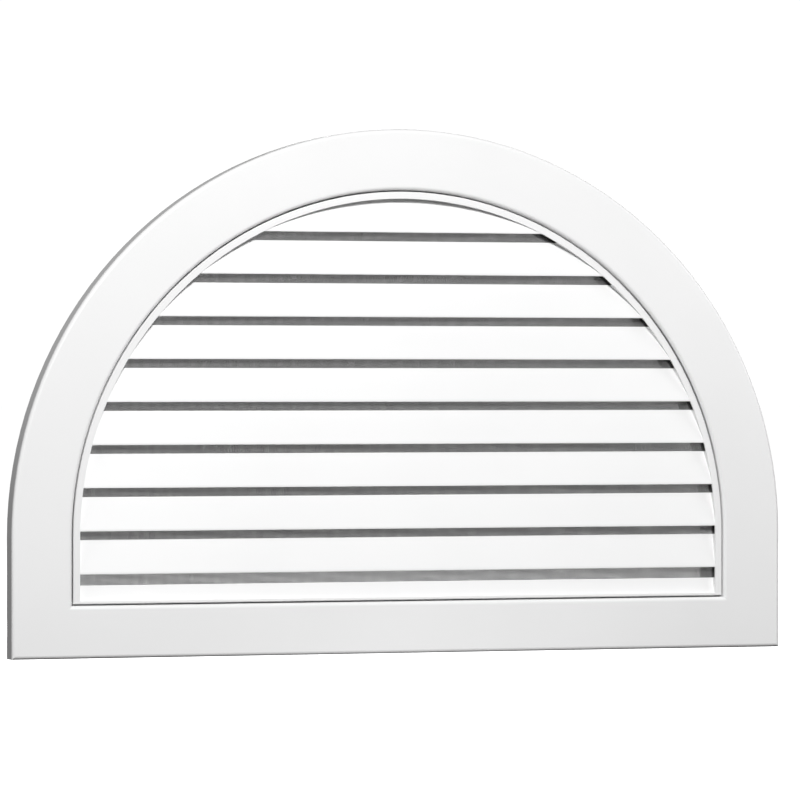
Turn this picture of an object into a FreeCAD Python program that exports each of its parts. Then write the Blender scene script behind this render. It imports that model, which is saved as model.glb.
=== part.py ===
import FreeCAD, Part
import math
import os

# Half-round gable vent with fixed louvres. Millimetres, +Z up, the front faces -Y.
# y = 0 is the wall plane, x = 0 the centre line and z = 0 the line of the bottom nail holes.

# Driving sizes of the outline
overall_width = 863.6
leg_height = 127.0
wall = 2.5

# Trim ring
ring_face_width = 65.0
ring_sill_width = 55.2
ring_depth = 22.0
ring_edge_radius = 4.0
ring_inner_edge_radius = 4.0
siding_gap = 14.0
seam_gap = 1.6

# Louvre body
rim_setback = 3.0
rim_width = 7.4
rim_chamfer = 0.8
sleeve_wall = 3.0
sleeve_rear = 18.0
flange_inset = 19.5

# Louvre blades; the lowest one sits lower, is cut off at the bottom and forms the sill
blade_pitch = 45.1
slot_height = 9.4
top_blade_height = 36.1
blade_nose = 1.6
blade_nose_setback = 0.5
blade_angle = 14.0
sill_drop = 2.5
least_sill_height = 15.0

# Snap fit between ring and sleeve
ridge_width = 1.6
snap_clearance = 0.2
bead_width = 1.6
bead_length = 30.0
bead_play = 0.2
arch_bead_angles = (15.0, 45.0, 75.0, 105.0, 135.0, 165.0)
bottom_bead_spacing = 200.0

# Nail holes in the flange
nail_hole_diameter = 5.5
arch_nail_angles = (0.0, 36.0, 72.0, 108.0, 144.0, 180.0)
leg_nail_rise = 20.0
bottom_nail_spacing = 260.0

# Insect screen
screen_thickness = 0.6
screen_clearance = 0.5

# Sizes that follow from the driving ones
outer_radius = overall_width / 2
bottom = -(flange_inset + ring_sill_width + seam_gap) / 2
spring_line = bottom + leg_height
ring_inner_radius = outer_radius - ring_face_width
ring_inner_bottom = bottom + ring_sill_width
sleeve_radius = ring_inner_radius - seam_gap
sleeve_bottom = ring_inner_bottom + seam_gap
rim_inner_radius = sleeve_radius - rim_width
flange_radius = outer_radius - flange_inset
flange_bottom = bottom + flange_inset

flange_front = -wall
ring_back = flange_front - siding_gap
ring_front = ring_back - ring_depth
rim_front = ring_front + rim_setback
nose_front = rim_front + blade_nose_setback

blade_rise = blade_pitch - slot_height
blade_run = (blade_rise - blade_nose) * math.tan(math.radians(blade_angle))
blade_back = nose_front + blade_run
top_lip = spring_line + rim_inner_radius - top_blade_height
lowest_lip_limit = sleeve_bottom + least_sill_height + sill_drop + slot_height
slot_count = 1 + math.floor((top_lip - lowest_lip_limit) / blade_pitch)
slot_lips = [top_lip - number * blade_pitch for number in range(slot_count)]
sill_lip = slot_lips[-1] - blade_pitch - sill_drop
slot_lows = [lip - slot_height for lip in slot_lips]
slot_lows[-1] = sill_lip + blade_rise

ridge_height = seam_gap - snap_clearance
bead_height = seam_gap - snap_clearance
bead_front = ring_back - bead_width
ridge_front = bead_front - bead_play - ridge_width

nail_radius = (sleeve_radius + flange_radius) / 2


def arch_wire(radius, low, y):
    """Closed outline of a half round on two short legs, in the plane at y."""
    left_low = FreeCAD.Vector(-radius, y, low)
    left_high = FreeCAD.Vector(-radius, y, spring_line)
    crown = FreeCAD.Vector(0, y, spring_line + radius)
    right_high = FreeCAD.Vector(radius, y, spring_line)
    right_low = FreeCAD.Vector(radius, y, low)
    edges = [
        Part.makeLine(left_low, left_high),
        Part.Arc(left_high, crown, right_high).toShape(),
        Part.makeLine(right_high, right_low),
        Part.makeLine(right_low, left_low),
    ]
    return Part.Wire(edges)


def arch_prism(radius, low, y_front, y_back):
    """Solid half round on legs, from y_front to y_back."""
    face = Part.Face(arch_wire(radius, low, y_front))
    return face.extrude(FreeCAD.Vector(0, y_back - y_front, 0))


def arch_band(radius_out, low_out, radius_in, low_in, y_front, y_back):
    """Frame between two half-round outlines, from y_front to y_back."""
    outer = arch_prism(radius_out, low_out, y_front, y_back)
    inner = arch_prism(radius_in, low_in, y_front - wall, y_back + wall)
    return outer.cut(inner)


def profile_bar(points, half_length):
    """Bar along X with the given (y, z) section."""
    corners = [FreeCAD.Vector(-half_length, y, z) for y, z in points]
    face = Part.Face(Part.makePolygon(corners + corners[:1]))
    return face.extrude(FreeCAD.Vector(2 * half_length, 0, 0))


def same(length, other):
    """Whether two lengths agree to a hundredth of a millimetre."""
    return abs(length - other) < 0.01


def on_outline(point, radius, low):
    """Whether a point lies on the half-round outline of this radius."""
    if point.z > spring_line:
        return same(math.hypot(point.x, point.z - spring_line), radius)
    return same(abs(point.x), radius) or same(point.z, low)


def outline_edges(shape, radius, low, y):
    """Edges of a solid that run along one outline in the plane at y."""
    found = []
    for edge in shape.Edges:
        middle = edge.valueAt((edge.FirstParameter + edge.LastParameter) / 2)
        in_plane = all(same(vertex.Point.y, y) for vertex in edge.Vertexes)
        if in_plane and same(middle.y, y) and on_outline(middle, radius, low):
            found.append(edge)
    return found


def one_solid(shape):
    """The single solid of a joined shape."""
    cleaned = shape.removeSplitter()
    if len(cleaned.Solids) != 1:
        raise ValueError("expected one solid, found %d" % len(cleaned.Solids))
    return cleaned.Solids[0]


def bead_windows():
    """Blocks round the ring that mark where the snap beads stand."""
    block_depth = 4 * (wall + bead_height)
    places = []
    for angle in arch_bead_angles:
        turn = math.radians(angle)
        x = ring_inner_radius * math.cos(turn)
        z = spring_line + ring_inner_radius * math.sin(turn)
        places.append((x, z, angle))
    leg_middle = (ring_inner_bottom + spring_line) / 2
    places.append((ring_inner_radius, leg_middle, 0.0))
    places.append((-ring_inner_radius, leg_middle, 180.0))
    bottom_run = 2 * ring_inner_radius - bead_length
    bottom_steps = math.floor(bottom_run / bottom_bead_spacing)
    for step in range(bottom_steps + 1):
        x = (step - bottom_steps / 2) * bottom_bead_spacing
        places.append((x, ring_inner_bottom, -90.0))
    blocks = []
    for x, z, angle in places:
        corner = FreeCAD.Vector(-block_depth / 2, ring_front, -bead_length / 2)
        block = Part.makeBox(block_depth, ring_depth * 2, bead_length, corner)
        block.rotate(FreeCAD.Vector(0, 0, 0), FreeCAD.Vector(0, 1, 0), -angle)
        block.translate(FreeCAD.Vector(x, 0, z))
        blocks.append(block)
    return Part.makeCompound(blocks)


def make_trim_ring():
    """Flat surround with a return wall outside and a snap leg inside."""
    face = arch_band(
        outer_radius, bottom, ring_inner_radius, ring_inner_bottom, ring_front, ring_front + wall
    )
    return_wall = arch_band(
        outer_radius, bottom, outer_radius - wall, bottom + wall, ring_front, ring_back
    )
    leg_radius = ring_inner_radius + wall
    leg_low = ring_inner_bottom - wall
    leg = arch_band(
        leg_radius, leg_low, ring_inner_radius, ring_inner_bottom, ring_front, ring_back
    )
    ring = one_solid(face.fuse([return_wall, leg]))
    outside = outline_edges(ring, outer_radius, bottom, ring_front)
    ring = ring.makeFillet(ring_edge_radius, outside)
    inside = outline_edges(ring, ring_inner_radius, ring_inner_bottom, ring_front)
    ring = ring.makeFillet(ring_inner_edge_radius, inside)
    bead = arch_band(
        leg_radius,
        leg_low,
        ring_inner_radius - bead_height,
        ring_inner_bottom + bead_height,
        bead_front,
        ring_back,
    )
    return one_solid(ring.fuse(bead.common(bead_windows())))


def blade_section(lip, foot):
    """Section of one blade: an upright nose down to the foot, then a slope up to the back."""
    drop = wall / math.sin(math.radians(blade_angle))
    slope = (blade_rise - blade_nose) / blade_run
    underside = lip + blade_nose - drop + wall * slope
    return [
        (nose_front, foot),
        (nose_front, lip + blade_nose),
        (blade_back, lip + blade_rise),
        (blade_back, lip + blade_rise - drop),
        (nose_front + wall, underside),
        (nose_front + wall, foot),
    ]


def make_blades():
    """All blades and the sill, trimmed to the inner wall of the rim and the sleeve's floor."""
    sections = [blade_section(lip, lip) for lip in slot_lips]
    sections.append(blade_section(sill_lip, min(sill_lip, sleeve_bottom)))
    field = arch_prism(
        rim_inner_radius + wall / 2, sleeve_bottom, rim_front - wall, blade_back + wall
    )
    return [profile_bar(section, outer_radius).common(field) for section in sections]


def make_inner_wall():
    """Wall at the blade ends, open at the height of each slot."""
    inner_wall = arch_band(
        rim_inner_radius + wall, sleeve_bottom, rim_inner_radius, bottom, rim_front, blade_back
    )
    slots = []
    for lip, low in zip(slot_lips, slot_lows):
        corner = FreeCAD.Vector(-outer_radius, rim_front + wall, low)
        slots.append(Part.makeBox(overall_width, blade_back - rim_front, lip - low, corner))
    return inner_wall.cut(Part.makeCompound(slots))


def nail_places():
    """Centres of the nail holes in the flange, as (x, z)."""
    places = []
    for angle in arch_nail_angles:
        turn = math.radians(angle)
        places.append((nail_radius * math.cos(turn), spring_line + nail_radius * math.sin(turn)))
    for side in (-1, 1):
        places.append((side * nail_radius, leg_nail_rise))
        places.append((side * bottom_nail_spacing / 2, 0.0))
    return places


def make_louver_body():
    """Sleeve, nailing flange, rim, inner wall and blades as one moulding."""
    sleeve = arch_band(
        sleeve_radius,
        sleeve_bottom,
        sleeve_radius - sleeve_wall,
        sleeve_bottom + sleeve_wall,
        rim_front,
        sleeve_rear,
    )
    rim = arch_band(
        sleeve_radius, sleeve_bottom, rim_inner_radius, bottom, rim_front, rim_front + wall
    )
    flange = arch_band(
        flange_radius,
        flange_bottom,
        sleeve_radius - sleeve_wall / 2,
        sleeve_bottom + sleeve_wall / 2,
        flange_front,
        0,
    )
    ridges = []
    for y in (ridge_front, ring_back):
        ridges.append(
            arch_band(
                sleeve_radius + ridge_height,
                sleeve_bottom - ridge_height,
                sleeve_radius - sleeve_wall / 2,
                sleeve_bottom + sleeve_wall / 2,
                y,
                y + ridge_width,
            )
        )
    frame = sleeve.fuse([rim, flange, make_inner_wall()] + ridges)
    body = one_solid(frame.fuse(make_blades()))
    corner_edges = outline_edges(body, sleeve_radius, sleeve_bottom, rim_front)
    body = body.makeChamfer(rim_chamfer, corner_edges)
    holes = []
    for x, z in nail_places():
        start = FreeCAD.Vector(x, flange_front - wall, z)
        holes.append(
            Part.makeCylinder(nail_hole_diameter / 2, 3 * wall, start, FreeCAD.Vector(0, 1, 0))
        )
    return one_solid(body.cut(Part.makeCompound(holes)))


def make_insect_screen():
    """Flat mesh sheet that lies on the back edges of the blades."""
    return arch_prism(
        sleeve_radius - sleeve_wall - screen_clearance,
        sleeve_bottom + sleeve_wall + screen_clearance,
        blade_back,
        blade_back + screen_thickness,
    )


os.makedirs("parts", exist_ok=True)
make_trim_ring().exportStep("parts/trim_ring.step")
make_louver_body().exportStep("parts/louver_body.step")
make_insect_screen().exportStep("parts/insect_screen.step")
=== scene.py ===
import math

import bmesh
import bpy
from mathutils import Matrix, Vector


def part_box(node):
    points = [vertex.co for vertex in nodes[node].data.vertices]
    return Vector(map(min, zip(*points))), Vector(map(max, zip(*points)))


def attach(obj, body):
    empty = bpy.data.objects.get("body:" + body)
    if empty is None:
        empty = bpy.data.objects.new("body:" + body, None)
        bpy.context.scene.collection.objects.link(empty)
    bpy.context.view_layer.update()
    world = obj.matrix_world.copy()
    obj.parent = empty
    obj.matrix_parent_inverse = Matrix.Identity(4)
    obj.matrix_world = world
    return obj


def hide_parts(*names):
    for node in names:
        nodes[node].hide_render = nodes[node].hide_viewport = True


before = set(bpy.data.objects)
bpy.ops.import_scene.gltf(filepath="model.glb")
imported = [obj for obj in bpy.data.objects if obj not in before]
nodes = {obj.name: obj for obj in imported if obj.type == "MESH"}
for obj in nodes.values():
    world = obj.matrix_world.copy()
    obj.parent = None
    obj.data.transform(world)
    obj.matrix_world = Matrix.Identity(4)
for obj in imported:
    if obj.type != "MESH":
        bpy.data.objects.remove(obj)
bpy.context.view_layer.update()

# Half-round gable vent: a white louvre body and trim ring, with a woven insect screen behind the slots.
# Lengths are in metres, angles in degrees and light in watts. The front faces -Y.

scene = bpy.context.scene
scene.view_settings.view_transform = "Standard"
scene.view_settings.look = "None"

ring_low, ring_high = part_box("trim_ring")
screen_low, screen_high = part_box("insect_screen")
white = (1.0, 1.0, 1.0, 1.0)


# Material helpers

def new_material(name):
    mat = bpy.data.materials.new(name)
    mat.use_nodes = True
    tree = mat.node_tree
    return mat, tree, tree.nodes["Principled BSDF"]


def noise(tree, coords, scale, detail, roughness=0.5):
    """Noise value, with scale in cells for each metre."""
    node = tree.nodes.new("ShaderNodeTexNoise")
    node.inputs["Scale"].default_value = scale
    node.inputs["Detail"].default_value = detail
    node.inputs["Roughness"].default_value = roughness
    tree.links.new(coords, node.inputs["Vector"])
    return node.outputs["Fac"]


def grey_ramp(tree, source, low, high, start=0.3, end=0.7):
    """Grey that goes from low to high while the source goes from start to end."""
    node = tree.nodes.new("ShaderNodeValToRGB")
    stops = ((start, low), (end, high))
    for element, (place, grey) in zip(node.color_ramp.elements, stops):
        element.position = place
        element.color = (grey, grey, grey, 1.0)
    tree.links.new(source, node.inputs["Fac"])
    return node.outputs["Color"]


def bump(tree, height, strength, depth, under=None):
    """Bumped normal, laid over another one where it is given."""
    node = tree.nodes.new("ShaderNodeBump")
    node.inputs["Strength"].default_value = strength
    node.inputs["Distance"].default_value = depth
    tree.links.new(height, node.inputs["Height"])
    if under is not None:
        tree.links.new(under, node.inputs["Normal"])
    return node.outputs["Normal"]


def use_material(obj, mat):
    for place in obj.material_slots:
        place.material = mat
    if not obj.material_slots:
        obj.data.materials.append(mat)


# White plastic of the ring and the louvres

ring_tone = 0.843
louver_tone = 0.848
cloud_darkening = 0.975
plastic_ior = 1.47
pattern_direction = (1.0, 0.37, 0.71)
louver_pattern_shift = 3.1


def white_plastic(name, tone, shift):
    """White moulded plastic: a faint cloudy tone, fine moulded grain and a soft sheen."""
    mat, tree, shader = new_material(name)
    coords = tree.nodes.new("ShaderNodeTexCoord")
    mapping = tree.nodes.new("ShaderNodeMapping")
    mapping.inputs["Location"].default_value = tuple(shift * part for part in pattern_direction)
    tree.links.new(coords.outputs["Object"], mapping.inputs["Vector"])
    place = mapping.outputs["Vector"]
    clouds = noise(tree, place, scale=7.0, detail=3.0)
    tint = grey_ramp(tree, clouds, low=tone * cloud_darkening, high=tone)
    tree.links.new(tint, shader.inputs["Base Color"])
    grain = noise(tree, place, scale=900.0, detail=2.0, roughness=0.6)
    sheen = grey_ramp(tree, grain, low=0.40, high=0.50)
    tree.links.new(sheen, shader.inputs["Roughness"])
    ripple = noise(tree, place, scale=30.0, detail=2.0)
    waves = bump(tree, ripple, strength=0.15, depth=0.0004)
    grainy = bump(tree, grain, strength=0.12, depth=0.0002, under=waves)
    tree.links.new(grainy, shader.inputs["Normal"])
    shader.inputs["IOR"].default_value = plastic_ior
    return mat


# Yarn of the insect screen

def screen_cloth(name):
    """Dark grey coated glass-fibre yarn, a little uneven from yarn to yarn."""
    mat, tree, shader = new_material(name)
    place = tree.nodes.new("ShaderNodeTexCoord").outputs["Object"]
    uneven = noise(tree, place, scale=260.0, detail=2.0)
    tint = grey_ramp(tree, uneven, low=0.045, high=0.070)
    tree.links.new(tint, shader.inputs["Base Color"])
    gloss = grey_ramp(tree, uneven, low=0.45, high=0.65, start=0.2, end=0.8)
    tree.links.new(gloss, shader.inputs["Roughness"])
    fuzz = noise(tree, place, scale=2400.0, detail=1.0)
    fuzzy = bump(tree, fuzz, strength=0.3, depth=0.0001)
    tree.links.new(fuzzy, shader.inputs["Normal"])
    return mat


use_material(nodes["trim_ring"], white_plastic("ring_white", ring_tone, 0.0))
use_material(nodes["louver_body"], white_plastic("louver_white", louver_tone, louver_pattern_shift))
yarn_grey = screen_cloth("screen_grey")
use_material(nodes["insect_screen"], yarn_grey)

# Insect screen: flat yarns in two crossing layers inside the sheet's own outline, with a fused border

yarn_pitch = 0.0012
yarn_width = 0.00076
yarn_sides = 8
yarn_end_inset = 0.0006
layer_share = 0.56
border_width = 0.005
border_steps = 96

arch_radius = screen_high.x
spring_line = screen_high.z - arch_radius
yarn_depth = (screen_high.y - screen_low.y) * layer_share
front_layer = screen_low.y + yarn_depth / 2
back_layer = screen_high.y - yarn_depth / 2


def yarn_section():
    """Flattened round section of a yarn, as (across, through) offsets."""
    flat_to_corner = 1 / math.cos(math.pi / yarn_sides)
    points = []
    for side in range(yarn_sides):
        turn = math.tau * (side + 0.5) / yarn_sides
        across = math.cos(turn) * flat_to_corner * yarn_width / 2
        through = math.sin(turn) * flat_to_corner * yarn_depth / 2
        points.append((across, through))
    return points


def add_yarn(bm, start, end, across, section):
    """Closed straight yarn from start to end, with its flat side along across."""
    rings = []
    for point in (start, end):
        rings.append([bm.verts.new(point + across * a + Vector((0, t, 0))) for a, t in section])
    count = len(section)
    for i in range(count):
        j = (i + 1) % count
        bm.faces.new((rings[0][i], rings[0][j], rings[1][j], rings[1][i]))
    bm.faces.new(rings[0])
    bm.faces.new(rings[1])


def half_chord(offset):
    """Half the arch's chord at this distance from its centre, a little inside the outline."""
    return math.sqrt((arch_radius - yarn_end_inset) ** 2 - offset ** 2)


def add_upright_yarns(bm, section):
    columns = int(2 * (arch_radius - yarn_width) / yarn_pitch)
    for column in range(columns + 1):
        x = (column - columns / 2) * yarn_pitch
        foot = Vector((x, front_layer, screen_low.z))
        head = Vector((x, front_layer, spring_line + half_chord(x)))
        add_yarn(bm, foot, head, Vector((1, 0, 0)), section)


def add_level_yarns(bm, section):
    rows = int((screen_high.z - screen_low.z - 2 * yarn_width) / yarn_pitch)
    for row in range(rows + 1):
        z = screen_low.z + yarn_width + row * yarn_pitch
        reach = half_chord(max(z - spring_line, 0.0))
        left = Vector((-reach, back_layer, z))
        right = Vector((reach, back_layer, z))
        add_yarn(bm, left, right, Vector((0, 0, 1)), section)


def arch_points(radius, low):
    """Half-round outline on straight legs, as (x, z) from the left foot to the right foot."""
    points = [(-radius, low)]
    for step in range(border_steps + 1):
        turn = math.pi * (1 - step / border_steps)
        points.append((radius * math.cos(turn), spring_line + radius * math.sin(turn)))
    points.append((radius, low))
    return points


def add_border(bm):
    """Flat band round the edge of the screen, as thick as the sheet."""
    outer = arch_points(arch_radius, screen_low.z)
    inner = arch_points(arch_radius - border_width, screen_low.z + border_width)
    front, back = screen_low.y, screen_high.y
    loops = []
    for points, y in ((outer, front), (inner, front), (inner, back), (outer, back)):
        loops.append([bm.verts.new((x, y, z)) for x, z in points])
    count = len(outer)
    for a, b in ((0, 1), (1, 2), (2, 3), (3, 0)):
        for i in range(count):
            j = (i + 1) % count
            bm.faces.new((loops[a][i], loops[a][j], loops[b][j], loops[b][i]))


def make_screen():
    bm = bmesh.new()
    section = yarn_section()
    add_upright_yarns(bm, section)
    add_level_yarns(bm, section)
    add_border(bm)
    bmesh.ops.recalc_face_normals(bm, faces=bm.faces)
    mesh = bpy.data.meshes.new("screen_weave")
    bm.to_mesh(mesh)
    bm.free()
    mesh.materials.append(yarn_grey)
    obj = bpy.data.objects.new("screen_weave", mesh)
    scene.collection.objects.link(obj)
    return obj


weave = make_screen()
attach(weave, "root")
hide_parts("insect_screen")

# Stage: pale glowing floor and plain white surround

floor_reach = 60.0
floor_glow = 1.0
surround_light = 0.01
surround_seen = 1.05


def floor_material():
    mat, tree, shader = new_material("pale_floor")
    place = tree.nodes.new("ShaderNodeTexCoord").outputs["Object"]
    clouds = noise(tree, place, scale=2.0, detail=2.0)
    tint = grey_ramp(tree, clouds, low=0.89, high=0.91)
    tree.links.new(tint, shader.inputs["Base Color"])
    shader.inputs["Roughness"].default_value = 0.9
    shader.inputs["Emission Color"].default_value = white
    shader.inputs["Emission Strength"].default_value = floor_glow
    return mat


def make_floor():
    """Floor under the ring that shows white, and neither shades nor lights the vent."""
    mesh = bpy.data.meshes.new("floor")
    corners = [(x * floor_reach, y * floor_reach, 0) for x, y in ((-1, -1), (1, -1), (1, 1), (-1, 1))]
    mesh.from_pydata(corners, [], [(0, 1, 2, 3)])
    mesh.materials.append(floor_material())
    floor = bpy.data.objects.new("floor", mesh)
    floor.location.z = ring_low.z
    floor.visible_diffuse = False
    floor.visible_glossy = False
    floor.visible_shadow = False
    scene.collection.objects.link(floor)
    return floor


def make_world():
    """White surround that shows bright but gives hardly any light, so that the lamps shape the vent."""
    world = bpy.data.worlds.new("studio")
    scene.world = world
    world.use_nodes = True
    tree = world.node_tree
    soft = tree.nodes["Background"]
    soft.inputs["Color"].default_value = white
    soft.inputs["Strength"].default_value = surround_light
    seen = tree.nodes.new("ShaderNodeBackground")
    seen.inputs["Color"].default_value = white
    seen.inputs["Strength"].default_value = surround_seen
    path = tree.nodes.new("ShaderNodeLightPath")
    pick = tree.nodes.new("ShaderNodeMixShader")
    tree.links.new(path.outputs["Is Camera Ray"], pick.inputs["Fac"])
    tree.links.new(soft.outputs["Background"], pick.inputs[1])
    tree.links.new(seen.outputs["Background"], pick.inputs[2])
    tree.links.new(pick.outputs["Shader"], tree.nodes["World Output"].inputs["Surface"])


floor = make_floor()
make_world()

# Lamps round the vent, and one over the patch of floor that shows through the lowest slot

vent_middle = Vector((0, ring_low.y, (ring_low.z + ring_high.z) / 2))
ground_behind = Vector((0.68, 2.0, ring_low.z))


def area_light(name, azimuth, elevation, distance, size, power, aim=vent_middle):
    """Square soft light, placed round the point that it looks at.

    Azimuth 0 is straight in front of the vent, and negative is to the left.
    """
    a = math.radians(azimuth)
    e = math.radians(elevation)
    away = Vector((math.sin(a) * math.cos(e), -math.cos(a) * math.cos(e), math.sin(e)))
    data = bpy.data.lights.new(name, "AREA")
    data.shape = "SQUARE"
    data.size = size
    data.energy = power
    lamp = bpy.data.objects.new(name, data)
    lamp.location = aim + away * distance
    lamp.rotation_euler = (-away).to_track_quat("-Z", "Y").to_euler()
    lamp.visible_camera = False
    scene.collection.objects.link(lamp)


area_light("key", azimuth=-11.0, elevation=30.0, distance=2.8, size=0.5, power=84.0)
area_light("left_fill", azimuth=-75.0, elevation=0.0, distance=2.0, size=0.8, power=6.5)
area_light("right_fill", azimuth=70.0, elevation=15.0, distance=1.2, size=0.5, power=3.0)
area_light("table_bounce", azimuth=5.0, elevation=-65.0, distance=0.6, size=0.25, power=0.27)
area_light("rear_fill", azimuth=180.0, elevation=0.0, distance=0.9, size=0.3, power=9.0)
area_light("ground_lamp", azimuth=0.0, elevation=90.0, distance=1.0, size=0.5, power=15.0,
           aim=ground_behind)

# Camera: long lens, level, about 19 degrees to the left of the front

image_size = 800.0
sensor_width = 36.0
focal_pixels = 5182.2
centre_pixel = (405.3, 383.4)
view_angle = 18.774
view_distance = 5.526
view_height = 0.2877


def make_camera():
    """Camera that shows the point at view height on the centre line at the centre pixel."""
    turn = math.radians(view_angle)
    look = Vector((math.sin(turn), math.cos(turn), 0.0))
    sideways = Vector((math.cos(turn), -math.sin(turn), 0.0))
    upward = Vector((0.0, 0.0, 1.0))
    axis_point = Vector((0.0, ring_low.y, ring_low.z + view_height))
    eye = axis_point - look * view_distance
    pixel_width = view_distance / focal_pixels
    right_shift = (image_size / 2 - centre_pixel[0]) * pixel_width
    down_shift = (image_size / 2 - centre_pixel[1]) * pixel_width
    target = axis_point + sideways * right_shift - upward * down_shift
    data = bpy.data.cameras.new("camera")
    data.sensor_width = sensor_width
    data.lens = focal_pixels / image_size * sensor_width
    data.clip_start = 0.05
    data.clip_end = 200.0
    camera = bpy.data.objects.new("camera", data)
    camera.location = eye
    camera.rotation_euler = (target - eye).to_track_quat("-Z", "Y").to_euler()
    scene.collection.objects.link(camera)
    scene.camera = camera


make_camera()

bpy.context.view_layer.update()
